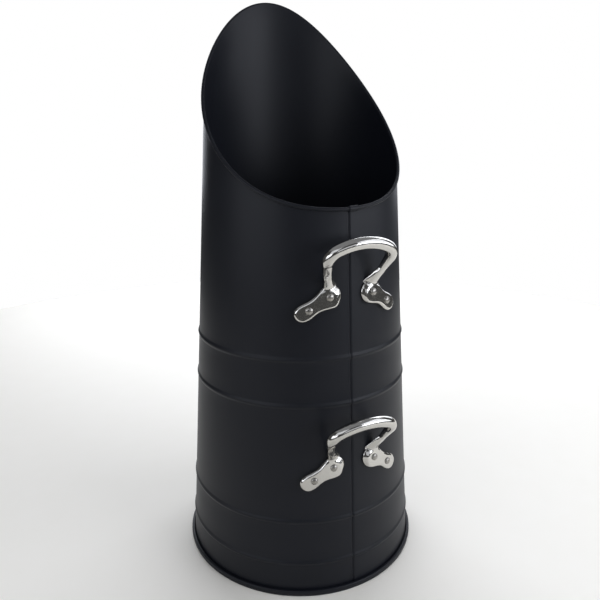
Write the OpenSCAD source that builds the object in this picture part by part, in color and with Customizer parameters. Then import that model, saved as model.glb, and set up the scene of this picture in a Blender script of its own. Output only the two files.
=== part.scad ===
// Tall coal hod: a tapered sheet steel barrel with a scooped pouring mouth, a floor plate seamed
// on round the foot, and two cast bow handles riveted one above the other on the low side.
// Millimetres. The origin is on the axis at floor level, +Z is up and the low side faces -Y.

/* [Barrel] */
// Outer diameter of the wall at floor level
base_d = 215; // [190:0.5:240]
// Outer diameter of the wall level with the tip of the lip
neck_d = 149.7; // [135:0.1:165]
// Thickness of the barrel's sheet
sheet_t = 0.7; // [0.6:0.05:1]

/* [Mouth] */
// Height of the edge wire at the tip of the pouring lip, at the back
lip_h = 498.5; // [480:0.5:520]
// Height of the edge wire at the low front
front_h = 328; // [322:0.5:340]
// Slope of the mouth at the low front, degrees
front_slope = 22; // [15:1:30]
// Slope of the mouth at the lip, degrees
lip_slope = 63.7; // [58:0.1:67]
// How far the middle of the scoop stands above a plain S curve
scoop_crown = 8.6; // [4:0.1:12]
// Turn of the mouth about the axis, away from the handles' centre line, degrees
mouth_turn = -4.4; // [-8:0.1:8]

/* [Wired edge] */
// Diameter of the wire that the mouth's edge is curled round
wire_d = 1.5; // [1.2:0.1:2.5]

/* [Rolled beads] */
// Height of the lowest bead, rolled outwards in the wall
first_bead_h = 30; // [15:0.5:45]
// Height of the second bead
second_bead_h = 69; // [55:0.5:78]
// Height of the third bead
third_bead_h = 171.5; // [165:0.5:190]
// Height of the highest bead
fourth_bead_h = 210.5; // [200:0.5:222]
// Width of a bead, up the wall
bead_w = 6; // [4:0.5:9]
// How far a bead stands out of the wall
bead_rise = 0.9; // [0.5:0.1:1.5]

/* [Side seam] */
// Turn of the side seam about the axis, away from the handles' centre line, degrees
seam_turn = -0.8; // [-4:0.1:4]
// Width of the groove left between the sheet's two edges
groove_w = 1.4; // [0.8:0.1:2]
// Width of the lap behind the groove
lap_w = 10; // [8:0.5:12]

/* [Floor plate] */
// Thickness of the floor plate
floor_t = 0.9; // [0.7:0.05:1.2]
// Height of the floor's underside above the ground
floor_h = 6; // [5.5:0.1:12]
// Height of the folded seam round the foot
foot_seam_h = 5.2; // [4.8:0.1:5.4]
// Radius of the fold's lower outer corner
fold_r = 1.6; // [1:0.1:1.8]

/* [Handles] */
// Height of the inner rivets of the upper handle
upper_handle_h = 261.5; // [250:0.5:266]
// Height of the inner rivets of the lower handle
lower_handle_h = 118.5; // [105:0.5:122]
// Distance of a handle's inner rivet from its centre line, round the wall
rivet_side = 19; // [18:0.1:21]
// Distance between the two rivets of one foot
rivet_pitch = 18.7; // [17:0.1:20]
// Droop of a foot below level, degrees
foot_droop = 32.3; // [28:0.1:36]
// Thickness of a foot
foot_t = 4.5; // [3.8:0.1:5.5]
// Radius of the lobe round the inner rivet
inner_lobe_r = 10; // [9.2:0.1:10.4]
// Radius of the lobe round the foot's toe
toe_lobe_r = 6.9; // [6.2:0.1:7.5]
// Distance from the inner rivet to the middle of the toe's lobe
toe_reach = 24.2; // [22.5:0.1:26]
// Depth of the hollow in the foot's lower edge
waist_d = 2.2; // [0:0.1:2.8]
// Width of the rounded edge round the foot's face
foot_edge_w = 1.9; // [0.8:0.1:2.2]
// Width of the long bevel round the inner end of the foot
lobe_bevel_w = 4.8; // [3:0.1:5.2]

/* [Bow] */
// Half the distance between the legs, where they leave the feet
leg_side = 20.9; // [20:0.1:22]
// Outward splay of each leg, degrees
leg_splay = 16; // [12:0.5:20]
// Lean of the bow away from the wall, degrees
bow_lean = 29.5; // [26:0.5:34]
// Height of the bow above its root, along its own lean
bow_h = 41.4; // [38:0.1:46]
// Radius of the arched grip's centre line
grip_arch_r = 45.6; // [42:0.1:60]
// Radius of the bends between grip and legs
bend_r = 11.5; // [9:0.1:13]
// Width of a leg, seen from the front
leg_w = 6.4; // [6:0.1:8]
// Width of the grip, seen from the front
grip_w = 9.3; // [8.5:0.1:10.5]
// Depth of a leg, front to back
leg_depth = 4.6; // [4.2:0.1:6]
// Depth of the grip, front to back
grip_depth = 9.2; // [8:0.1:10]
// Turn of a leg's face outwards, away from the middle, degrees
leg_twist = 9; // [0:0.5:15]
// Width of the web between a leg and the inner end of its foot
web_w = 7; // [5:0.1:7.5]
// Height of the web up the leg
web_h = 13.3; // [11:0.1:15]

/* [Rivets and burrs] */
// Diameter of a rivet's shank
rivet_d = 3.2; // [2.8:0.1:4]
// Diameter of a rivet's domed head
head_d = 6; // [5:0.1:7]
// Height of a rivet's domed head
head_h = 1.7; // [1.2:0.1:2.4]
// Diameter of the closed end inside the barrel
tail_d = 5; // [4.6:0.1:5.6]
// Height of the closed end inside the barrel
tail_h = 1.6; // [1:0.1:2.2]
// Outer diameter of the burr, the washer that a rivet is closed on
burr_d = 9; // [8:0.5:11]
// Thickness of the burr
burr_t = 0.8; // [0.6:0.1:1.2]

/* [Clearances] */
// Gap between the folded layers of the foot's seam
fold_gap = 0.15; // [0.1:0.05:0.3]
// Gap round the wire in its curl
wire_gap = 0.08; // [0.06:0.01:0.15]
// Gap under whatever is riveted on
seat_gap = 0.06; // [0.03:0.01:0.15]
// Radial gap round a rivet's shank in its holes
hole_gap = 0.1; // [0.05:0.01:0.25]

/* [Hidden] */
left = -1;
right = 1;
// Where the rivets go: name, height of the handle, side, and which of the foot's two holes
rivet_spots = [
    for (row = [["upper", upper_handle_h], ["lower", lower_handle_h]])
    for (side = [["left", left], ["right", right]])
    for (hole = [["inner", 0], ["outer", 1]])
    [str(row[0], "_", side[0], "_", hole[0]), row[1], side[1], hole[1]]];
function rivet_name(spot) = str(spot[0], "_rivet");
function burr_name(spot) = str(spot[0], "_burr");

$fn = 96;

steel_black = "#242428";
steel_bright = "#9a9a9c";
chrome_bright = "#c9c7c2";
rivet_grey = "#a8a8aa";

// ---- the wall: a cone with beads rolled in it ----

taper = (base_d - neck_d) / 2 / lip_h;
taper_angle = atan(taper);

function wall_r(z) = base_d / 2 - taper * z;
function round_wall(s, z) = s / wall_r(z) * 180 / PI;

bead_heights = [first_bead_h, second_bead_h, third_bead_h, fourth_bead_h];
bead_steps = 10;
function bead_at(z, at) =
    abs(z - at) < bead_w / 2 ? bead_rise / 2 * (1 + cos(360 * (z - at) / bead_w)) : 0;
function bead_bump(z, i = 0) =
    i >= len(bead_heights) ? 0 : bead_at(z, bead_heights[i]) + bead_bump(z, i + 1);

// Heights between low and high at which the wall's outline has a point
function outline_heights(low, high) = concat(
    [low],
    [for (at = bead_heights) for (i = [0:bead_steps]) at + bead_w * (i / bead_steps - 0.5)],
    [high]);
function wall_line(inset, low, high) =
    [for (z = outline_heights(low, high)) [wall_r(z) + bead_bump(z) - inset, z]];

function backwards(list) = [for (i = [len(list) - 1:-1:0]) list[i]];
function arc(cx, cy, r, from, to, steps = 5) =
    [for (i = [0:steps]) let (a = from + (to - from) * i / steps) [cx + r * cos(a), cy + r * sin(a)]];

// ---- the mouth: a scooped line, seen from the side ----

mouth_front_y = -wall_r(front_h);
mouth_back_y = wall_r(lip_h);
mouth_run = mouth_back_y - mouth_front_y;

// Height of the mouth's edge at depth y, on a curve with a set height and slope at both ends
function mouth_z(y) =
    let (u = (y - mouth_front_y) / mouth_run)
    front_h * (2 * pow(u, 3) - 3 * pow(u, 2) + 1)
    + lip_h * (3 * pow(u, 2) - 2 * pow(u, 3))
    + mouth_run * tan(front_slope) * (pow(u, 3) - 2 * pow(u, 2) + u)
    + mouth_run * tan(lip_slope) * (pow(u, 3) - pow(u, 2))
    + scoop_crown * 16 * pow(u, 2) * pow(1 - u, 2);

// Height at which the wall meets the mouth in direction a, with 0 at the back
function mouth_height(a, z, rounds = 12) =
    rounds == 0 ? z : mouth_height(a, mouth_z(wall_r(z) * cos(a)), rounds - 1);

// ---- lofts: skins over rings of points ----

function ring_faces(rings, n, closed) =
    [for (i = [0:rings - (closed ? 1 : 2)]) for (j = [0:n - 1]) for (half = [0, 1])
        let (a = i * n, b = (i + 1) % rings * n, k = (j + 1) % n)
        half == 0 ? [a + j, b + j, b + k] : [a + j, b + k, a + k]];
function cap_faces(rings, n) = [
    [for (j = [0:n - 1]) j],
    [for (j = [n - 1:-1:0]) (rings - 1) * n + j]];

module loft(rings, closed = false) {
    n = len(rings[0]);
    polyhedron(
        points = [for (ring = rings) for (p = ring) p],
        faces = concat(ring_faces(len(rings), n, closed), closed ? [] : cap_faces(len(rings), n)));
}

// ---- the wired edge: the sheet curled outwards over a wire ----

curl_in_r = wire_d / 2 + wire_gap;
curl_out_r = curl_in_r + sheet_t;
// The curl's root lies inside the wall, which is cut off a little below the wire's middle
curl_skin = 0.14;
curl_drop = 0.5;
curl_root = 2.6;
curl_end = -130;
curl_steps = 8;
wire_sides = 8;
rim_rings = 100;

function unit(v) = v / norm(v);
function rim_point(a) =
    let (z = mouth_height(a, (front_h + lip_h) / 2), r = wall_r(z) + curl_in_r)
    [-r * sin(a), r * cos(a), z];
// Frame at a point of the edge: the point, the way out of the barrel, and the way up the wall
function rim_frame(a) =
    let (way = unit(rim_point(a + 0.5) - rim_point(a - 0.5)),
         out = unit([-sin(a), cos(a), taper]),
         up = unit(cross(out, way)))
    [rim_point(a), unit(cross(way, up)), up];
function rim_ring(a, section) =
    let (f = rim_frame(a)) [for (p = section) f[0] + p[0] * f[1] + p[1] * f[2]];
function rim_sweep(section) = [for (i = [0:rim_rings - 1]) rim_ring(360 * i / rim_rings, section)];

curl_section = concat(
    [[curl_skin - curl_out_r, -curl_root]],
    arc(0, 0, curl_out_r - curl_skin, 180, curl_end, curl_steps),
    backwards(arc(0, 0, curl_in_r, 180, curl_end, curl_steps)),
    [[-curl_in_r - curl_skin, -curl_drop], [-curl_in_r - curl_skin, -curl_root]]);
wire_section = arc(0, 0, wire_d / 2, 360, 360 / wire_sides, wire_sides - 1);

module mouth_scoop() {
    margin = 6;
    steps = 60;
    low = mouth_front_y - margin;
    high = mouth_back_y + margin;
    line = [for (i = [0:steps]) let (y = low + (high - low) * i / steps) [y, mouth_z(y) - curl_drop]];
    top = mouth_z(high) + margin;
    rotate([0, 0, mouth_turn])
        rotate([90, 0, 90])
            linear_extrude(height = base_d, center = true)
                polygon(concat(line, [[high, top], [low, top]]));
}

// ---- the foot's seam: wall and floor plate hooked into each other ----

rim_r = base_d / 2 + 2 * floor_t + sheet_t + 3 * fold_gap;
hook_r = rim_r - floor_t - fold_gap;
flange_z = floor_t + fold_gap;
hook_top = foot_seam_h - floor_t - fold_gap;
floor_top = floor_h + floor_t;
skirt_r = wall_r(floor_top) - sheet_t - fold_gap;

module wall_outline() {
    foot_r = wall_r(flange_z);
    polygon(concat(
        [[foot_r - sheet_t, flange_z], [hook_r, flange_z], [hook_r, hook_top],
         [hook_r - sheet_t, hook_top], [hook_r - sheet_t, flange_z + sheet_t]],
        wall_line(0, flange_z + sheet_t, lip_h),
        backwards(wall_line(sheet_t, flange_z + sheet_t, lip_h))));
}

// The strip of sheet behind the groove, set in by its own thickness
module lap_outline() {
    bite = 0.05;
    polygon(concat(
        wall_line(sheet_t - bite, floor_top + fold_gap, lip_h),
        backwards(wall_line(2 * sheet_t, floor_top + fold_gap, lip_h))));
}

groove_angle = round_wall(groove_w, front_h / 2);
lap_angle = round_wall(lap_w, front_h / 2);
seam_at = seam_turn - 90;

module body_shell() {
    color(steel_black)
        difference() {
            union() {
                difference() {
                    union() {
                        rotate([0, 0, seam_at + groove_angle / 2])
                            rotate_extrude(angle = 360 - groove_angle) wall_outline();
                        rotate([0, 0, seam_at - groove_angle])
                            rotate_extrude(angle = lap_angle) lap_outline();
                    }
                    mouth_scoop();
                }
                rotate([0, 0, mouth_turn])
                    loft(rim_sweep(curl_section), closed = true);
            }
            for (spot = rivet_spots) rivet_hole(spot);
        }
}

module rim_wire() {
    color(steel_bright)
        rotate([0, 0, mouth_turn])
            loft(rim_sweep(wire_section), closed = true);
}

module floor_plate() {
    hook_in_r = wall_r(foot_seam_h) + fold_gap;
    hook_out_r = hook_in_r + floor_t;
    fold_top_r = fold_r / 2;
    color(steel_black)
        rotate_extrude()
            polygon(concat(
                [[0, floor_h], [skirt_r - floor_t, floor_h], [skirt_r - floor_t, 0]],
                arc(rim_r - fold_r, fold_r, fold_r, -90, 0),
                arc(rim_r - fold_top_r, foot_seam_h - fold_top_r, fold_top_r, 0, 90),
                [[hook_in_r, foot_seam_h],
                 [hook_in_r, flange_z + sheet_t + fold_gap],
                 [hook_out_r, flange_z + sheet_t + fold_gap],
                 [hook_out_r, foot_seam_h - floor_t],
                 [rim_r - floor_t, foot_seam_h - floor_t],
                 [rim_r - floor_t, floor_t],
                 [skirt_r, floor_t],
                 [skirt_r, floor_top],
                 [0, floor_top]]));
}

// ---- places on the wall ----

// The two holes of a foot: distance round the wall and height above the inner one
hole_places = [
    [rivet_side, 0],
    [rivet_side + rivet_pitch * cos(foot_droop), -rivet_pitch * sin(foot_droop)]];

// Puts its children at a rivet's place, with +Z straight out of the wall
module at_rivet(spot) {
    h = spot[1];
    side = spot[2];
    place = hole_places[spot[3]];
    z = h + place[1];
    rotate([0, 0, side * round_wall(place[0], h)])
        translate([0, -wall_r(z), z])
            rotate([90 - taper_angle, 0, 0]) children();
}

module rivet_hole(spot) {
    reach = foot_t + rivet_d;
    at_rivet(spot)
        translate([0, 0, -reach]) cylinder(r = rivet_d / 2 + hole_gap, h = 2 * reach, $fn = 32);
}

// ---- the bow: legs, bends and grip in one leaning plane ----

// The leg's line runs up and outwards; the bend and the grip are arcs that follow it smoothly
leg_way = [sin(leg_splay), cos(leg_splay)];
leg_inward = [-cos(leg_splay), sin(leg_splay)];
grip_centre = [0, bow_h - grip_arch_r];
bend_base = [leg_side, 0] + bend_r * leg_inward - grip_centre;
bend_along = bend_base * leg_way;
leg_length = sqrt(pow(bend_along, 2) - bend_base * bend_base + pow(grip_arch_r - bend_r, 2)) - bend_along;
bend_centre = [leg_side, 0] + leg_length * leg_way + bend_r * leg_inward;
bend_to = atan2(bend_centre[1] - grip_centre[1], bend_centre[0] - grip_centre[0]);

leg_root = 3.5;
root_n = -0.6;
root_z = 8;
leg_steps = 6;
bend_steps = 7;
grip_steps = 5;

function smooth(t) = let (c = min(max(t, 0), 1)) c * c * (3 - 2 * c);

// A station: middle, inward way, and how far along it is: 0 to 1 leg, 1 to 2 bend, 2 to 3 grip
function leg_station(t) =
    [[leg_side, 0] + (t * (leg_length + leg_root) - leg_root) * leg_way, leg_inward, t];
function bend_station(t) =
    let (a = -leg_splay + t * (bend_to + leg_splay), way = [cos(a), sin(a)])
    [bend_centre + bend_r * way, -way, 1 + t];
function grip_station(t) =
    let (a = bend_to + t * (90 - bend_to), way = [cos(a), sin(a)])
    [grip_centre + grip_arch_r * way, -way, 2 + t];
half_bow = concat(
    [for (i = [0:leg_steps - 1]) leg_station(i / leg_steps)],
    [for (i = [0:bend_steps - 1]) bend_station(i / bend_steps)],
    [for (i = [0:grip_steps]) grip_station(i / grip_steps)]);
function mirrored(station) =
    [[-station[0][0], station[0][1]], [-station[1][0], station[1][1]], station[2]];
bow_stations = concat(
    [for (i = [0:len(half_bow) - 2]) mirrored(half_bow[i])],
    backwards(half_bow));

bow_sides = 20;

function rounded_power(v, p) = sign(v) * pow(abs(v), 2 / p);

// Ring round a station: flat-faced on the legs and nearly round on the grip. Low on the legs
// the web widens it inwards, from nothing at its front to all of its width at its back.
function bow_ring(station, h) =
    let (blend = smooth((station[2] - 0.55) / 0.95),
         half_w = (leg_w + (grip_w - leg_w) * blend) / 2,
         half_d = (leg_depth + (grip_depth - leg_depth) * blend) / 2,
         power = 4.6 - 2.4 * blend,
         twist = leg_twist * (1 - blend),
         web = station[2] < 1 ? web_w * max(1 - station[0][1] / web_h, 0) : 0,
         side = sign(station[0][0]))
    [for (i = [0:bow_sides - 1])
        let (a = -360 * (i + 0.5) / bow_sides,
             c = rounded_power(cos(a), power),
             d = rounded_power(sin(a), power),
             across = c * half_w * cos(twist) - d * half_d * sin(twist),
             deep = c * half_w * sin(twist) + d * half_d * cos(twist),
             p = station[0] + across * station[1],
             n = root_n + p[1] * sin(bow_lean) + deep * cos(bow_lean),
             z = root_z + p[1] * cos(bow_lean) - deep * sin(bow_lean))
        [p[0] - side * max(c, 0) * (1 - d) / 2 * web, -wall_r(h) - n, h + z]];

module bow(h) {
    loft([for (station = bow_stations) bow_ring(station, h)]);
}

// ---- a foot: a waisted pad with a rounded edge and a bevelled inner end, laid round the wall ----

lobe_end = 0.995;
foot_lobe_steps = 6;
foot_waist_steps = 9;
foot_sink = 1.5;
upper_share = 0.9;
upper_waist = 0.7;
edge_power = 1.7;
bevel_reach = 7;
bevel_foot = 0.8;
edge_shares = [-1, -0.93, -0.82, -0.66, -0.45, 0, 0.45, 0.66, 0.82, 0.93, 1];

foot_stations = concat(
    [for (i = [0:foot_lobe_steps - 1]) -inner_lobe_r * min(cos(90 * i / foot_lobe_steps), lobe_end)],
    [for (i = [0:foot_waist_steps]) toe_reach * i / foot_waist_steps],
    [for (i = [1:foot_lobe_steps]) toe_reach + toe_lobe_r * min(sin(90 * i / foot_lobe_steps), lobe_end)]);

// Half width of the foot at u along it, below or above the line through the rivets
function half_width(u, upper) =
    let (f = min(max(u / toe_reach, 0), 1),
         lobe = inner_lobe_r * (upper ? upper_share : 1),
         waist = waist_d * (upper ? upper_waist : 1))
    lobe + (toe_lobe_r - lobe) * f - waist * pow(sin(180 * f), 2);
function lobe_part(u) = u < 0 ? -u / inner_lobe_r : max(u - toe_reach, 0) / toe_lobe_r;
// Height of the foot's face at a share of its half width: it falls off round the edge, and
// nearly down to the wall at the inner end
function foot_top(u, share) =
    let (e = lobe_part(u),
         inner = sqrt(pow(e, 2) + pow(share, 2) * (1 - pow(e, 2))),
         bevelled = smooth(-u / bevel_reach),
         edge_w = foot_edge_w + (lobe_bevel_w - foot_edge_w) * bevelled,
         fall = foot_edge_w + (foot_t - bevel_foot - foot_edge_w) * bevelled,
         inset = min(half_width(u, share > 0) * (1 - inner) / edge_w, 1))
    foot_t - fall * pow(1 - inset, edge_power);
function foot_point(u, share, n, h) =
    let (v = share * half_width(u, share > 0) * sqrt(1 - pow(lobe_part(u), 2)),
         s = rivet_side + u * cos(foot_droop) + v * sin(foot_droop),
         z = h - u * sin(foot_droop) + v * cos(foot_droop),
         a = round_wall(s, h),
         r = wall_r(z) + n)
    [r * sin(a), -r * cos(a), z];
function foot_ring(u, h) = concat(
    [for (share = [-1, 0, 1]) foot_point(u, share, -foot_sink, h)],
    [for (share = backwards(edge_shares)) foot_point(u, share, foot_top(u, share), h)]);

module foot(h) {
    loft([for (u = foot_stations) foot_ring(u, h)]);
}

// One casting, dressed to the wall's curve at its own height
module handle(h) {
    seat_h = 2 * (bow_h + toe_reach);
    low = h - seat_h / 2;
    color(chrome_bright)
        difference() {
            union() {
                bow(h);
                foot(h);
                mirror([1, 0, 0]) foot(h);
            }
            translate([0, 0, low])
                cylinder(r1 = wall_r(low) + seat_gap, r2 = wall_r(low + seat_h) + seat_gap, h = seat_h);
            for (spot = rivet_spots) if (spot[1] == h) rivet_hole(spot);
        }
}

module upper_handle() {
    handle(upper_handle_h);
}

module lower_handle() {
    handle(lower_handle_h);
}

// ---- rivets, closed inside the barrel on burrs ----

// A flat burr on the hollow side of the wall touches it at its edges only
burr_lift = pow(burr_d / 2, 2) / neck_d + seat_gap;
burr_face = sheet_t + burr_lift;
tail_face = burr_face + burr_t + seat_gap;

module rivet(spot) {
    head_base = foot_t + seat_gap;
    shank_r = rivet_d / 2;
    color(rivet_grey)
        at_rivet(spot)
            rotate_extrude($fn = 48)
                polygon(concat(
                    [[0, -tail_face - tail_h]],
                    [for (a = [18:18:90]) [tail_d / 2 * sin(a), -tail_face - tail_h * cos(a)]],
                    [[shank_r, -tail_face], [shank_r, head_base]],
                    [for (a = [0:15:90]) [head_d / 2 * cos(a), head_base + head_h * sin(a)]]));
}

module burr(spot) {
    color(rivet_grey)
        at_rivet(spot)
            translate([0, 0, -burr_face - burr_t])
                difference() {
                    cylinder(d = burr_d, h = burr_t, $fn = 48);
                    translate([0, 0, -burr_t])
                        cylinder(r = rivet_d / 2 + hole_gap, h = 3 * burr_t, $fn = 32);
                }
}

body_shell();
rim_wire();
floor_plate();
upper_handle();
lower_handle();
for (spot = rivet_spots) {
    rivet(spot);
    burr(spot);
}
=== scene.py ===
from math import atan2, ceil, copysign, cos, degrees, pi, radians, sin, sqrt, tan

import bmesh
import bpy
from mathutils import Matrix, Vector


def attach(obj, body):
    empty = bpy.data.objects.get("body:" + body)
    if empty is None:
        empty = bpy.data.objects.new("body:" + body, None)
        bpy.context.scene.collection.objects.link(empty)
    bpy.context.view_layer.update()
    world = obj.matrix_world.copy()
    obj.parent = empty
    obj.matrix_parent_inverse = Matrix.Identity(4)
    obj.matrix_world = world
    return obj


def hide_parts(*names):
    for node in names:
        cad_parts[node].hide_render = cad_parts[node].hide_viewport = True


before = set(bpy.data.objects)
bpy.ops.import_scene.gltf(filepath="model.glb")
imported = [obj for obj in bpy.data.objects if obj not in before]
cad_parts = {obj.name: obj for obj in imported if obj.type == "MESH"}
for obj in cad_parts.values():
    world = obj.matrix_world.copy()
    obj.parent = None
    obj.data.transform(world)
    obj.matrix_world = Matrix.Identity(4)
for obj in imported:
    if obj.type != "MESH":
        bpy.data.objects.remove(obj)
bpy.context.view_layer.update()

# ---- the barrel ----------------------------------------------------------------------------
# One sheet of 0.7 mm mild steel, rolled into a cone and lapped down the front, with four beads
# rolled outwards in it. Its foot is hooked outwards for the floor plate, and its scooped upper
# edge is curled over a wire. It is powder coated satin black, inside and out.

# Lengths are in millimetres, and MM turns them into Blender's metres
MM = 0.001
sheet_t = 0.7
base_d = 215
neck_d = 149.7
lip_h = 498.5
base_r = base_d / 2
taper = (base_d - neck_d) / 2 / lip_h
bead_heights = (30, 69, 171.5, 210.5)
bead_w = 6
bead_rise = 0.9


def wall_r(z):
    """The wall's outer radius at a height."""
    return base_r - taper * z


def bead(z):
    """How far the beads stand out of the wall at a height."""
    near = [abs(z - at) for at in bead_heights if abs(z - at) < bead_w / 2]
    return bead_rise / 2 * (1 + cos(2 * pi * near[0] / bead_w)) if near else 0


def smooth(t):
    """Goes from 0 to 1 with t, without a corner at either end."""
    t = min(max(t, 0), 1)
    return t * t * (3 - 2 * t)


def around(turn, r, z):
    """A point at a turn in degrees from the front, counter-clockwise seen from above."""
    return Vector((r * sin(radians(turn)), -r * cos(radians(turn)), z))


# Rolling leaves the sheet's two ends nearly flat, so the lap makes a slight peak
seam_turn = -0.8
groove_turn = degrees(1.4 / wall_r(164))
lap_turn = degrees(10 / wall_r(164))
flat_w = 21
flat_rise = 0.62
flat_from = 8
flat_over = 190


def seam_peak(turn, z):
    """How far the lap's peak stands out of the cone: not at all at the foot, held by its hook."""
    off = radians((turn - seam_turn + 180) % 360 - 180) * wall_r(z)
    return flat_rise * smooth((z - flat_from) / flat_over) * max(0, 1 - abs(off) / flat_w) ** 2


# The mouth's edge, seen from the side: set heights and slopes at both ends, and a crowned middle
front_h = 328
front_slope = tan(radians(22))
lip_slope = tan(radians(63.7))
scoop_crown = 8.6
mouth_turn = -4.4
mouth_front = -wall_r(front_h)
mouth_run = wall_r(lip_h) - mouth_front


def mouth_z(y):
    """The height of the mouth's edge above a point on the line from the low front to the lip."""
    u = (y - mouth_front) / mouth_run
    return (front_h * (2 * u**3 - 3 * u**2 + 1) + lip_h * (3 * u**2 - 2 * u**3)
            + mouth_run * front_slope * (u**3 - 2 * u**2 + u)
            + mouth_run * lip_slope * (u**3 - u**2)
            + scoop_crown * 16 * u**2 * (1 - u) ** 2)


def mouth_height(turn):
    """The height of the mouth's edge at a turn, found by steps, as the wall leans inwards."""
    z = 400
    for _ in range(20):
        z = mouth_z(-wall_r(z) * cos(radians(turn - mouth_turn)))
    return z


# The curl runs from the wall over the top and down outside, and is shorter on the lap's underlap
curl_in_r = 0.83
curl_end = -118
lap_curl_end = -92


def edge_point(turn):
    """The middle of the edge wire at a turn."""
    z = mouth_height(turn)
    return around(turn, wall_r(z) + seam_peak(turn, z) + curl_in_r, z)


def edge_frame(turn):
    """The edge wire's middle, the way out of the barrel and the way up, square to the edge."""
    way = (edge_point(turn + 0.4) - edge_point(turn - 0.4)).normalized()
    up = around(turn, 1, taper).cross(way).normalized()
    return edge_point(turn), way.cross(up).normalized(), up


def bent(corners, radius, steps=5):
    """The middle line of a bent sheet: its points, each with the way square to it, on the right."""
    corners = [Vector(c) for c in corners]
    line = []
    for i, corner in enumerate(corners):
        if i in (0, len(corners) - 1):
            way = (corners[1] - corner if i == 0 else corner - corners[i - 1]).normalized()
            line.append((corner, Vector((way.y, -way.x))))
            continue
        before = (corner - corners[i - 1]).normalized()
        after = (corners[i + 1] - corner).normalized()
        turn = atan2(before.cross(after), before.dot(after))
        start = corner - before * radius * tan(abs(turn) / 2)
        side = Vector((before.y, -before.x)) * (-radius if turn > 0 else radius)
        for k in range(steps + 1):
            spin = Matrix.Rotation(turn * k / steps, 2)
            line.append((start + side - spin @ side, spin @ Vector((before.y, -before.x))))
    return line


corner_angle = radians(38)


def stand(name, mesh):
    """Puts a mesh into the scene, smooth but for its real corners."""
    mesh.validate()
    mesh.shade_smooth()
    mesh.set_sharp_from_angle(angle=corner_angle)
    piece = bpy.data.objects.new(name, mesh)
    bpy.context.scene.collection.objects.link(piece)
    return piece


def skin(name, points, faces):
    """A piece from points in millimetres."""
    mesh = bpy.data.meshes.new(name)
    mesh.from_pydata([Vector(p) * MM for p in points], [], faces)
    return stand(name, mesh)


def sheet(name, front, back, first_row):
    """Sheet metal between two grids of points, each a list of columns, with its cut edges.

    first_row gives the row that a column starts at, where the sheet is cut away below.
    """
    rows = len(front[0])
    points = [p for grid in (front, back) for column in grid for p in column]
    shift = len(front) * rows

    def there(j, i):
        return 0 <= j < len(front) - 1 and 0 <= i < rows - 1 and i >= first_row(j)

    faces = []
    for j in range(len(front) - 1):
        for i in range(rows - 1):
            if not there(j, i):
                continue
            a, b = j * rows + i, (j + 1) * rows + i
            faces.append((a, b, b + 1, a + 1))
            faces.append((shift + a, shift + a + 1, shift + b + 1, shift + b))
            if not there(j, i - 1):
                faces.append((a, shift + a, shift + b, b))
            if not there(j, i + 1):
                faces.append((a + 1, b + 1, shift + b + 1, shift + a + 1))
            if not there(j - 1, i):
                faces.append((a, a + 1, shift + a + 1, shift + a))
            if not there(j + 1, i):
                faces.append((shift + b, shift + b + 1, b + 1, b))
    used = sorted({k for face in faces for k in face})
    new = {k: n for n, k in enumerate(used)}
    return skin(name, [points[k] for k in used], [[new[k] for k in face] for face in faces])


# The hook at the foot, from its cut end inwards and up into the wall
hook_gap = 0.15
plate_t = 0.9
rim_r = base_r + 2 * plate_t + sheet_t + 3 * hook_gap
hook_r = rim_r - plate_t - hook_gap
flange_z = plate_t + hook_gap
fold_h = 5.2
hook_bend_r = 0.6
hook_root = 2.4
hook_top = 2.6
hook_out = hook_r - sheet_t / 2
hook_in = wall_r(hook_root) - sheet_t / 2
hook = bent([(hook_out, fold_h - flange_z), (hook_out, flange_z + sheet_t / 2),
             (hook_in, flange_z + sheet_t / 2), (hook_in, hook_top)], hook_bend_r)[:-1]

# Heights of the wall's rows below the mouth's slope: close on the beads, and wide between them
floor_top = 6.9
lap_foot = floor_top + hook_gap
plain_top = 218
widest_row = 9
wall_rows = {hook_top, 4.5, lap_foot, 12, 18, plain_top}
wall_rows |= {round(at + bead_w * (k / 12 - 0.5), 3) for at in bead_heights for k in range(13)}
for low, high in ((33, 66), (72, 168.5), (174.5, 207.5)):
    count = ceil((high - low) / widest_row)
    wall_rows |= {low + (high - low) * k / count for k in range(count + 1)}
wall_rows = sorted(wall_rows)
slope_rows = 18
curl_rows = 20
rows_below_lap = len(hook) + wall_rows.index(lap_foot)

# The lap: the sheet's left end steps in by its own thickness and runs on under the right end,
# whose edge is a little rounded, so that a narrow groove shows
joggle_turn = 0.62
joggle_lead = 0.12
lap_gap = 0.05
right_edge = seam_turn + groove_turn / 2
left_edge = 360 + seam_turn - groove_turn / 2
tongue_end = 360 + seam_turn - groove_turn + lap_turn
edge_ease = 0.42
ease_turn = 0.8


def set_in(turn):
    """How many thicknesses the sheet is set in: none, until it steps under its other end."""
    return (1 + lap_gap / sheet_t) * smooth((turn - left_edge + joggle_lead) / joggle_turn)


def sheet_column(turn, ease):
    """The outer and the inner line of the sheet at one turn, from the hook to the curl's end."""
    depth = set_in(turn) * sheet_t
    outer, inner = [], []
    for p, side in hook:
        outer.append(around(turn, *(p + side * (sheet_t / 2 - ease))))
        inner.append(around(turn, *(p - side * sheet_t / 2)))
    top = mouth_height(turn)
    slope = [plain_top + (top - plain_top) * k / slope_rows for k in range(1, slope_rows)]
    for z in wall_rows + slope:
        r = wall_r(z) + bead(z) + seam_peak(turn, z) - depth
        outer.append(around(turn, r - ease, z))
        inner.append(around(turn, r - sheet_t, z))
    middle, out, up = edge_frame(turn)
    end = lap_curl_end if turn > left_edge + joggle_turn / 2 else curl_end
    for k in range(curl_rows + 1):
        a = radians(180 + (end - 180) * k / curl_rows)
        way = out * cos(a) + up * sin(a)
        outer.append(middle + way * (curl_in_r + depth + ease))
        inner.append(middle + way * (curl_in_r + depth + sheet_t))
    return outer, inner


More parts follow.
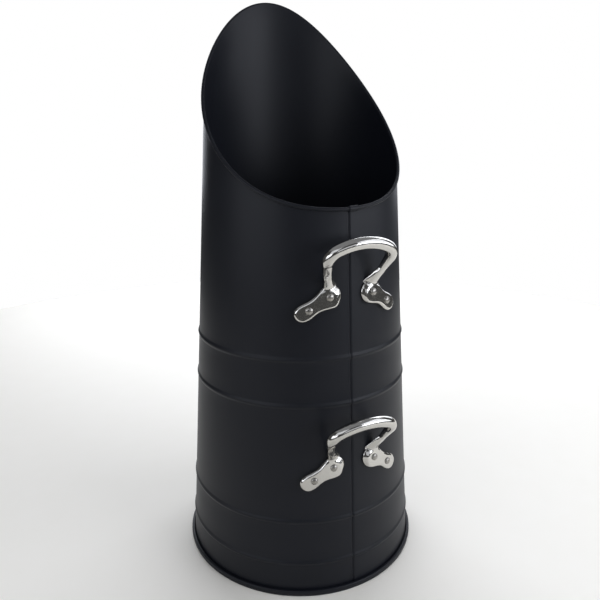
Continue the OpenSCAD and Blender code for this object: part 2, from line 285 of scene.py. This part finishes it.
# Turns of the sheet's columns: close at its two ends and at the step, and even between them
plain_step = 1.2
turns = [right_edge + ease_turn * k / 6 for k in range(7)]
turns += [2 + plain_step * k for k in range(298)]
turns += [left_edge - 0.7, left_edge - 0.35]
turns += [left_edge - joggle_lead + joggle_turn * k / 6 for k in range(7)]
turns += [left_edge + groove_turn + plain_step * k for k in range(4)] + [tongue_end]
columns = [sheet_column(t, edge_ease * (1 - smooth((t - right_edge) / ease_turn))) for t in turns]
tongue_starts = sum(t < left_edge for t in turns) - 1
barrel = sheet("barrel", [c[0] for c in columns], [c[1] for c in columns],
               lambda j: 0 if j < tongue_starts else rows_below_lap)


def linear(code):
    """An sRGB hex colour as Blender's linear one."""
    parts = [int(code[i:i + 2], 16) / 255 for i in (1, 3, 5)]
    return (*(p / 12.92 if p <= 0.04045 else ((p + 0.055) / 1.055) ** 2.4 for p in parts), 1)


def add(tree, kind, joins=None, **settings):
    """Adds a node: joins gives its sockets a number or an output, settings set its own options."""
    node = tree.nodes.new("ShaderNode" + kind)
    for name, value in settings.items():
        setattr(node, name, value)
    for name, value in (joins or {}).items():
        if isinstance(value, bpy.types.NodeSocket):
            tree.links.new(value, node.inputs[name])
        else:
            node.inputs[name].default_value = value
    return node


def finish_named(name):
    """An empty material, its node tree, and the part's own place in metres for its patterns."""
    material = bpy.data.materials.new(name)
    material.use_nodes = True
    tree = material.node_tree
    tree.nodes.clear()
    return material, tree, add(tree, "TexCoord").outputs["Object"]


def surface(tree, **joins):
    """The finish's own shader, with its named sockets."""
    shader = add(tree, "BsdfPrincipled", {k.replace("_", " "): v for k, v in joins.items()})
    add(tree, "OutputMaterial", {"Surface": shader.outputs["BSDF"]})


def per_metre(size_mm):
    """The scale of a pattern whose features are that many millimetres across."""
    return 1 / (size_mm * MM)


# Polyester powder coat, sprayed and baked: a near-black film with a satin sheen, a fine orange
# peel of about 2 mm, and slow changes of gloss where the film came out thicker.
powder_coat, tree, place = finish_named("satin black powder coat")
peel = add(tree, "TexNoise", {"Vector": place, "Scale": per_metre(2.2), "Detail": 1.5})
cloud = add(tree, "TexNoise", {"Vector": place, "Scale": per_metre(55), "Detail": 3})
shade = add(tree, "ValToRGB", {"Fac": cloud.outputs["Fac"]})
shade.color_ramp.elements[0].color = linear("#111319")
shade.color_ramp.elements[1].color = linear("#17191f")
gloss = add(tree, "MapRange", {"Value": cloud.outputs["Fac"], "To Min": 0.40, "To Max": 0.48})
grain = add(tree, "Bump", {"Height": peel.outputs["Fac"], "Strength": 0.25,
                           "Distance": 0.03 * MM})
surface(tree, Base_Color=shade.outputs["Color"], Roughness=gloss.outputs["Result"],
        Specular_IOR_Level=0.22, Normal=grain.outputs["Normal"])
barrel.data.materials.append(powder_coat)
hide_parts("body_shell")
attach(barrel, "root")

# ---- the edge wire -------------------------------------------------------------------------
# A ring of 1.5 mm drawn steel wire inside the curl of the mouth, which makes the thin sheet's
# edge stiff and safe to the hand. It shows only from below, in the open side of the curl.

wire_r = 0.75
wire_sides = 14
wire_stations = 300


def tube(name, rings):
    """A closed skin over rings of points that come back to the first."""
    n = len(rings[0])
    faces = []
    for i in range(len(rings)):
        here, after = i * n, (i + 1) % len(rings) * n
        for j in range(n):
            k = (j + 1) % n
            faces.append((here + j, here + k, after + k, after + j))
    return skin(name, [p for ring in rings for p in ring], faces)


rings = []
for i in range(wire_stations):
    middle, out, up = edge_frame(360 * i / wire_stations)
    rings.append([middle + wire_r * (out * cos(a) - up * sin(a))
                  for a in (2 * pi * k / wire_sides for k in range(wire_sides))])
edge_wire = tube("edge_wire", rings)

# Drawn low carbon steel, left bright: a dull grey gleam with fine marks. They are drawn 1.2 mm
# apart, much coarser than the die leaves them, because they wouldn't show otherwise.
drawn_wire, tree, place = finish_named("bright drawn steel wire")
marks = add(tree, "TexNoise", {"Vector": place, "Scale": per_metre(1.2), "Detail": 4})
dull = add(tree, "MapRange", {"Value": marks.outputs["Fac"], "To Min": 0.28, "To Max": 0.5})
tone = add(tree, "ValToRGB", {"Fac": marks.outputs["Fac"]})
tone.color_ramp.elements[0].color = linear("#8f8e8c")
tone.color_ramp.elements[1].color = linear("#b5b4b1")
surface(tree, Base_Color=tone.outputs["Color"], Metallic=1, Roughness=dull.outputs["Result"])
edge_wire.data.materials.append(drawn_wire)
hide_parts("rim_wire")
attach(edge_wire, "root")

# ---- the floor plate -----------------------------------------------------------------------
# A pressed disc of 0.9 mm steel, raised 6 mm off the ground. Its skirt turns out under the
# wall's hook and folds up and over it, which makes the 5 mm rim that the hod stands on.

floor_h = 6
skirt_r = wall_r(floor_top) - sheet_t - hook_gap
fold_in_r = wall_r(fold_h) + hook_gap
turned_segments = 180


def lathe(name, profile, segments, place=Matrix()):
    """Turns a profile of (radius, height) round Z, with a point where the radius is nothing."""
    points, rings = [], []
    for r, z in profile:
        start = len(points)
        count = 1 if r == 0 else segments
        points += [place @ around(360 * k / segments, r, z) for k in range(count)]
        rings.append([start + k % count for k in range(segments)])
    closed = profile[0][0] > 0 and profile[-1][0] > 0
    faces = []
    for i in range(len(rings) - (0 if closed else 1)):
        low, high = rings[i], rings[(i + 1) % len(rings)]
        for k in range(segments):
            j = (k + 1) % segments
            faces.append(list(dict.fromkeys((low[k], low[j], high[j], high[k]))))
    return skin(name, points, faces)


half_t = plate_t / 2
plate_bend_r = 0.72
disc = bent([(0, floor_h + half_t), (skirt_r - half_t, floor_h + half_t),
             (skirt_r - half_t, half_t), (rim_r - half_t, half_t),
             (rim_r - half_t, fold_h - half_t), (fold_in_r + half_t, fold_h - half_t),
             (fold_in_r + half_t, flange_z + sheet_t + hook_gap)], plate_bend_r, steps=6)
upper = [p - side * half_t for p, side in disc]
lower = [p + side * half_t for p, side in disc]
plate_profile = [(max(p.x, 0), p.y) for p in lower + upper[::-1]]
floor_plate = lathe("floor_plate_pressing", plate_profile, turned_segments)
floor_plate.data.materials.append(powder_coat)
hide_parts("floor_plate")
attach(floor_plate, "root")

# ---- the handles ---------------------------------------------------------------------------
# Two like die castings, polished and chrome plated. Each is a round bow that leans out of the
# wall on two flat-faced legs, with a waisted foot under each leg, dressed to the wall's curve.

handle_heights = {"upper": 261.5, "lower": 118.5}
sides = {"left": -1, "right": 1}
rivet_side = 19
rivet_pitch = 18.7
foot_droop = radians(32.3)
foot_t = 4.5
inner_lobe_r = 10
toe_lobe_r = 6.9
toe_reach = 24.2
waist_d = 2.2
upper_share = 0.9
upper_waist = 0.7
foot_edge_w = 1.9
edge_power = 1.7
lobe_bevel_w = 4.8
bevel_reach = 7
bevel_foot = 1.6
seat_gap = 0.06
hole_r = 1.7

# The powers say how square the bow's sections are: 2 is round, and more is flatter-faced
leg_side = 20.9
leg_splay = radians(16)
bow_lean = radians(29.5)
bow_h = 41.4
grip_arch_r = 45.6
bend_r = 11.5
leg_w = 6.4
grip_w = 9.3
leg_depth = 4.6
grip_depth = 9.2
leg_twist = radians(9)
web_w = 7
web_h = 13.3
leg_power = 4.6
grip_power = 2.2
round_from = 0.55
round_over = 0.95
leg_root = 3.5
root_n = -0.6
root_z = 8

# Along the wall and up from the handle's height, for the inner and the outer rivet
hole_places = ((rivet_side, 0), (rivet_side + rivet_pitch * cos(foot_droop),
                                 -rivet_pitch * sin(foot_droop)))


def at_rivet(h, side, hole):
    """A rivet's place on the wall, with its Z straight out of the wall."""
    s, dz = hole_places[hole]
    return (Matrix.Rotation(side * s / wall_r(h), 4, "Z")
            @ Matrix.Translation((0, -wall_r(h + dz), h + dz))
            @ Matrix.Rotation(pi / 2 - atan2(taper, 1), 4, "X"))


def loft(name, rings):
    """A skin over rings of points, closed flat at both ends."""
    n = len(rings[0])
    faces = [(i * n + j, i * n + (j + 1) % n, (i + 1) * n + (j + 1) % n, (i + 1) * n + j)
             for i in range(len(rings) - 1) for j in range(n)]
    faces += [list(range(n))[::-1], [(len(rings) - 1) * n + j for j in range(n)]]
    return skin(name, [p for ring in rings for p in ring], faces)


# The bow's middle line in its own plane: a leg, then a bend and the grip, which run on smoothly
leg_way = Vector((sin(leg_splay), cos(leg_splay)))
leg_inward = Vector((-cos(leg_splay), sin(leg_splay)))
grip_centre = Vector((0, bow_h - grip_arch_r))
bend_base = Vector((leg_side, 0)) + bend_r * leg_inward - grip_centre
bend_along = bend_base.dot(leg_way)
leg_length = (sqrt(bend_along**2 - bend_base.dot(bend_base) + (grip_arch_r - bend_r) ** 2)
              - bend_along)
bend_centre = Vector((leg_side, 0)) + leg_length * leg_way + bend_r * leg_inward
bend_to = atan2(bend_centre.y - grip_centre.y, bend_centre.x - grip_centre.x)


def station(t):
    """Middle and inward way of the bow's half: t to 1 is the leg, to 2 the bend, to 3 the grip."""
    if t < 1:
        up_leg = t * (leg_length + leg_root) - leg_root
        return Vector((leg_side, 0)) + up_leg * leg_way, leg_inward
    if t < 2:
        a = -leg_splay + (t - 1) * (bend_to + leg_splay)
        way = Vector((cos(a), sin(a)))
        return bend_centre + bend_r * way, -way
    a = bend_to + (t - 2) * (pi / 2 - bend_to)
    way = Vector((cos(a), sin(a)))
    return grip_centre + grip_arch_r * way, -way


def rounded(v, power):
    """One way's share of a point on a rounded square, from its share on a circle."""
    return copysign(abs(v) ** (2 / power), v)


def bow_ring(t, mirror, h, n=48):
    """Ring round the bow: flat-faced on the legs, with a web low on their backs, then round."""
    middle, inward = station(t)
    blend = smooth((t - round_from) / round_over)
    half_w = (leg_w + (grip_w - leg_w) * blend) / 2
    half_d = (leg_depth + (grip_depth - leg_depth) * blend) / 2
    power = leg_power + (grip_power - leg_power) * blend
    twist = leg_twist * (1 - blend)
    web = web_w * max(1 - middle.y / web_h, 0) if t < 1 else 0
    ring = []
    for i in range(n):
        a = -2 * pi * (i + 0.5) / n
        c, d = rounded(cos(a), power), rounded(sin(a), power)
        deep = c * half_w * sin(twist) + d * half_d * cos(twist)
        p = middle + (c * half_w * cos(twist) - d * half_d * sin(twist)) * inward
        ring.append(Vector((mirror * (p.x - max(c, 0) * (1 - d) / 2 * web),
                            -wall_r(h) - root_n - p.y * sin(bow_lean) - deep * cos(bow_lean),
                            h + root_z + p.y * cos(bow_lean) - deep * sin(bow_lean))))
    return ring


def half_width(u, upper):
    """Half width of a foot at u along it, above or below the line through its rivets."""
    f = min(max(u / toe_reach, 0), 1)
    lobe = inner_lobe_r * (upper_share if upper else 1)
    waist = waist_d * (upper_waist if upper else 1)
    return lobe + (toe_lobe_r - lobe) * f - waist * sin(pi * f) ** 2


def foot_ring(u, h, side, n=32):
    """Ring across a foot: flat under, rounded at its edge and long bevelled at its inner end."""
    end = -u / inner_lobe_r if u < 0 else max(u - toe_reach, 0) / toe_lobe_r
    bevelled = smooth(-u / bevel_reach)
    edge_w = foot_edge_w + (lobe_bevel_w - foot_edge_w) * bevelled
    fall = foot_edge_w + (foot_t - bevel_foot - foot_edge_w) * bevelled

    def point(share, out):
        v = share * half_width(u, share > 0) * sqrt(max(1 - end**2, 0))
        s = rivet_side + u * cos(foot_droop) + v * sin(foot_droop)
        z = h - u * sin(foot_droop) + v * cos(foot_droop)
        return around(side * degrees(s / wall_r(h)), wall_r(z) + out, z)

    def top(share):
        across = sqrt(end**2 + share**2 * (1 - end**2))
        inset = min(half_width(u, share > 0) * (1 - across) / edge_w, 1)
        return foot_t - fall * (1 - inset) ** edge_power

    shares = [cos(pi * k / n) for k in range(n + 1)]
    return [point(s, seat_gap) for s in shares[::-1]] + [point(s, top(s)) for s in shares]


drill_reach = 8
drill_sides = 32
wall_margin = 60
wall_segments = 360
lobe_end = 0.996


def settle(piece):
    """Makes what a piece's modifiers show its own mesh."""
    seen = piece.evaluated_get(bpy.context.evaluated_depsgraph_get())
    mesh = bpy.data.meshes.new_from_object(seen)
    piece.modifiers.clear()
    piece.data = mesh


def cut(piece, *tools):
    """Takes the tools' shapes out of a piece."""
    for tool in tools:
        piece.modifiers.new("cut", "BOOLEAN").object = tool
        piece.modifiers[-1].operation = "DIFFERENCE"
        piece.modifiers[-1].solver = "EXACT"
    settle(piece)


def drop(*pieces):
    """Takes finished tools and parts out of the scene."""
    for piece in pieces:
        bpy.data.objects.remove(piece)


def drill(h, side, hole):
    """A round cutter for one rivet's holes."""
    profile = [(0, -drill_reach), (hole_r, -drill_reach), (hole_r, drill_reach), (0, drill_reach)]
    return lathe("drill", profile, drill_sides, at_rivet(h, side, hole))


# The fused skin's fineness, and the balls in which the corners between legs and feet are blended
voxel = 0.34 * MM
polish_passes = 7
blend_z = 10
blend_r = 8.5
blend_fade = 4
blend_passes = 90


def fused(name, parts):
    """One skin round all the parts, with small fillets where they meet."""
    both = bmesh.new()
    for part in parts:
        both.from_mesh(part.data)
    mesh = bpy.data.meshes.new(name)
    both.to_mesh(mesh)
    both.free()
    casting = bpy.data.objects.new(name, mesh)
    bpy.context.scene.collection.objects.link(casting)
    fuse = casting.modifiers.new("fuse", "REMESH")
    fuse.mode = "VOXEL"
    fuse.voxel_size = voxel
    polish = casting.modifiers.new("polish", "SMOOTH")
    polish.factor = 0.5
    polish.iterations = polish_passes
    settle(casting)
    return casting


def blend_roots(casting, h):
    """Fills and rounds the corners between the legs and the feet, as a mould's are."""
    roots = [Vector((side * leg_side, -wall_r(h) - foot_t / 2, h + blend_z)) * MM
             for side in (-1, 1)]
    blended = casting.vertex_groups.new(name="leg_roots")
    for v in casting.data.vertices:
        off = min((v.co - root).length for root in roots) / MM
        if off < blend_r:
            blended.add([v.index], smooth((blend_r - off) / blend_fade), "REPLACE")
    blend = casting.modifiers.new("blend", "SMOOTH")
    blend.vertex_group = blended.name
    blend.factor = 0.5
    blend.iterations = blend_passes
    settle(casting)


def handle(name, h):
    """One casting: a bow cut to the wall and two drilled feet, fused and blended together."""
    bow_stations = [k / 40 for k in range(121)]
    rings = [bow_ring(t, -1, h) for t in bow_stations]
    rings += [bow_ring(t, 1, h) for t in bow_stations[-2::-1]]
    parts = [loft("bow", rings)]
    ends = [sin(pi / 2 * k / 12) * lobe_end for k in range(13)]
    along = [-inner_lobe_r * e for e in ends[::-1]] + [toe_reach * k / 24 for k in range(1, 24)]
    along += [toe_reach + toe_lobe_r * e for e in ends]
    low, high = h - wall_margin, h + wall_margin
    wall = lathe("wall", [(0, low), (wall_r(low) + seat_gap, low),
                          (wall_r(high) + seat_gap, high), (0, high)], wall_segments)
    cut(parts[0], wall)
    drills = []
    for side in (-1, 1):
        foot = loft("foot", [foot_ring(u, h, side) for u in along][::side])
        drills += [drill(h, side, 0), drill(h, side, 1)]
        cut(foot, *drills[-2:])
        parts.append(foot)
    casting = fused(name, parts)
    blend_roots(casting, h)
    casting.data.shade_smooth()
    drop(*parts, wall, *drills)
    return casting


# Chrome over nickel on a zinc casting, polished by hand: it mirrors the room with a faint haze
# in patches of 4 mm, and waves of about 9 mm in the casting's skin make its reflections wander.
chrome, tree, place = finish_named("polished chrome plate")
waves = add(tree, "TexNoise", {"Vector": place, "Scale": per_metre(9), "Detail": 2})
haze = add(tree, "TexNoise", {"Vector": place, "Scale": per_metre(4), "Detail": 5,
                              "Roughness": 0.65})
mist = add(tree, "MapRange", {"Value": haze.outputs["Fac"], "From Min": 0.35, "From Max": 0.75,
                              "To Min": 0.08, "To Max": 0.18})
wander = add(tree, "Bump", {"Height": waves.outputs["Fac"], "Strength": 0.5,
                            "Distance": 0.12 * MM})
tint = add(tree, "ValToRGB", {"Fac": haze.outputs["Fac"]})
tint.color_ramp.elements[0].color = linear("#c3c1bd")
tint.color_ramp.elements[1].color = linear("#cfcdc8")
surface(tree, Base_Color=tint.outputs["Color"], Metallic=1,
        Roughness=mist.outputs["Result"], Normal=wander.outputs["Normal"])

for level, h in handle_heights.items():
    casting = handle(level + "_handle_casting", h)
    casting.data.materials.clear()
    casting.data.materials.append(chrome)
    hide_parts(level + "_handle")
    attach(casting, "root")

# ---- the rivets and their burrs ------------------------------------------------------------
# Eight solid aluminium rivets with domed heads hold the feet. Each shank goes through foot and
# wall, and its end is beaten into a dome inside the barrel, over a zinc plated washer, the burr,
# which bears on the hollow of the wall with its rim.

shank_r = 1.6
head_r = 3
head_h = 1.7
head_edge = 0.2
tail_r = 2.5
tail_h = 1.6
tail_edge = 0.15
burr_r = 4.5
burr_t = 0.8
burr_ease = 0.15
burr_lift = burr_r**2 / neck_d + seat_gap
burr_face = sheet_t + burr_lift
tail_face = burr_face + burr_t + seat_gap
head_base = foot_t + seat_gap
round_steps = 10
turned_sides = 48

# Aluminium, cold headed and tumbled: a softer and greyer gleam than chrome, with small dents of
# about 0.9 mm.
aluminium, tree, place = finish_named("headed aluminium")
scuff = add(tree, "TexNoise", {"Vector": place, "Scale": per_metre(0.9), "Detail": 3})
soft = add(tree, "MapRange", {"Value": scuff.outputs["Fac"], "To Min": 0.22, "To Max": 0.34})
dents = add(tree, "Bump", {"Height": scuff.outputs["Fac"], "Strength": 0.3, "Distance": 0.04 * MM})
grey = add(tree, "ValToRGB", {"Fac": scuff.outputs["Fac"]})
grey.color_ramp.elements[0].color = linear("#8f8c87")
grey.color_ramp.elements[1].color = linear("#a6a39e")
surface(tree, Base_Color=grey.outputs["Color"], Metallic=1, Roughness=soft.outputs["Result"],
        Normal=dents.outputs["Normal"])

# Zinc plate on mild steel, tumbled in a barrel: a milky grey with cloudy spangles of 1.5 mm.
zinc, tree, place = finish_named("barrel plated zinc")
spangle = add(tree, "TexVoronoi", {"Vector": place, "Scale": per_metre(1.5)})
cloudy = add(tree, "MapRange", {"Value": spangle.outputs["Distance"],
                                "To Min": 0.3, "To Max": 0.48})
milk = add(tree, "ValToRGB", {"Fac": spangle.outputs["Distance"]})
milk.color_ramp.elements[0].color = linear("#9da0a3")
milk.color_ramp.elements[1].color = linear("#b6b8b9")
surface(tree, Base_Color=milk.outputs["Color"], Metallic=1, Roughness=cloudy.outputs["Result"])

arc = [pi / 2 * k / round_steps for k in range(round_steps)]
head = [(head_r * cos(a), head_base + head_edge + (head_h - head_edge) * sin(a)) for a in arc]
tail = [(tail_r * cos(a), -tail_face - tail_edge - (tail_h - tail_edge) * sin(a)) for a in arc]
rivet_profile = ([(0, -tail_face - tail_h)] + tail[::-1]
                 + [(tail_r, -tail_face), (shank_r, -tail_face),
                    (shank_r, head_base), (head_r, head_base)]
                 + head + [(0, head_base + head_h)])
low, high = -burr_face - burr_t, -burr_face
burr_profile = [(hole_r, low + burr_ease), (hole_r + burr_ease, low),
                (burr_r - burr_ease, low), (burr_r, low + burr_ease),
                (burr_r, high - burr_ease), (burr_r - burr_ease, high),
                (hole_r + burr_ease, high), (hole_r, high - burr_ease)]
drills = []
for level, h in handle_heights.items():
    for side_name, side in sides.items():
        for hole, hole_name in enumerate(("inner", "outer")):
            spot = f"{level}_{side_name}_{hole_name}"
            place = at_rivet(h, side, hole)
            rivet = lathe(spot + "_domed_rivet", rivet_profile, turned_sides, place)
            rivet.data.materials.append(aluminium)
            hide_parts(spot + "_rivet")
            burr = lathe(spot + "_burr_washer", burr_profile, turned_sides, place)
            burr.data.materials.append(zinc)
            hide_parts(spot + "_burr")
            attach(rivet, "root")
            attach(burr, "root")
            drills.append(drill(h, side, hole))
cut(barrel, *drills)
barrel.data.set_sharp_from_angle(angle=corner_angle)
drop(*drills)

# ---- the camera and the studio -------------------------------------------------------------
# The hod stands on a broad pale table in a dim studio, with plain white behind it for the camera
# alone. Softboxes stand all round it, low and high, and a wide faint one hangs overhead.

scene = bpy.context.scene
camera = bpy.data.objects.new("camera", bpy.data.cameras.new("camera"))
scene.collection.objects.link(camera)
scene.camera = camera
camera.data.lens = 35.49
camera.data.sensor_width = 36
camera.data.clip_start = 0.01
camera.location = (-0.2351, -0.4762, 0.3828)
camera.rotation_euler = (Matrix.Rotation(radians(-26.28), 3, "Z")
                         @ Matrix.Rotation(radians(74.35), 3, "X")
                         @ Matrix.Rotation(radians(-0.145), 3, "Z")).to_euler()
scene.view_settings.view_transform = "Standard"

table_r = 950
table_t = 20
table_place = Matrix.Translation((60, 100, 0))
table_profile = [(0, -table_t), (table_r, -table_t), (table_r, 0), (0, 0)]
table = lathe("table_top", table_profile, 96, table_place)

# Melamine laminate with a matt face, pressed on board: a warm white with very faint clouds.
laminate, tree, place = finish_named("pale matt laminate")
speck = add(tree, "TexNoise", {"Vector": place, "Scale": per_metre(30), "Detail": 2})
pale = add(tree, "ValToRGB", {"Fac": speck.outputs["Fac"]})
pale.color_ramp.elements[0].color = linear("#f9f5eb")
pale.color_ramp.elements[1].color = linear("#fbf7ee")
surface(tree, Base_Color=pale.outputs["Color"], Roughness=0.7)
table.data.materials.append(laminate)

world = bpy.data.worlds.new("studio")
scene.world = world
world.use_nodes = True
tree = world.node_tree
tree.nodes.clear()
seen = add(tree, "LightPath").outputs["Is Camera Ray"]
strength = add(tree, "MapRange", {"Value": seen, "To Min": 0.08, "To Max": 1.0})
room = add(tree, "Background", {"Color": linear("#ffffff"), "Strength": strength.outputs["Result"]})
add(tree, "OutputWorld", {"Surface": room.outputs["Background"]})

# Each panel's turn and height in degrees as the hod sees it, how far it stands and its two sides
# in metres, and how bright its face is
panels = {
    "front_fill": (0, 10, 1.2, 0.62, 0.44, 0.7),
    "key_softbox": (30, 10, 1.2, 0.62, 0.44, 4.9),
    "right_softbox": (60, 10, 1.2, 0.62, 0.44, 2.7),
    "left_softbox": (-74, 10, 1.2, 1.2, 0.44, 2.3),
    "high_right": (50, 35, 1.2, 1.2, 0.56, 1.5),
    "high_left": (-50, 35, 1.2, 1.15, 0.56, 0.9),
    "back_right": (120, 10, 1.2, 0.62, 0.44, 1.9),
    "back_panel": (165, 10, 1.2, 1.2, 0.44, 3.3),
    "high_back": (150, 35, 1.2, 1.7, 0.56, 3.4),
    "ceiling": (0, 89, 1.6, 3, 3, 0.22),
}
target = Vector((0, 0, 250)) * MM
for name, (turn, height, away, wide, high, brightness) in panels.items():
    lamp = bpy.data.lights.new(name, "AREA")
    lamp.shape = "RECTANGLE"
    lamp.size, lamp.size_y = wide, high
    lamp.energy = brightness * pi * wide * high
    lamp.color = linear("#f2f6ff")[:3]
    light = bpy.data.objects.new(name, lamp)
    scene.collection.objects.link(light)
    lift = radians(height)
    light.location = target + around(turn, away * cos(lift), away * sin(lift))
    light.rotation_euler = (target - light.location).to_track_quat("-Z", "Y").to_euler()
    light.visible_camera = False
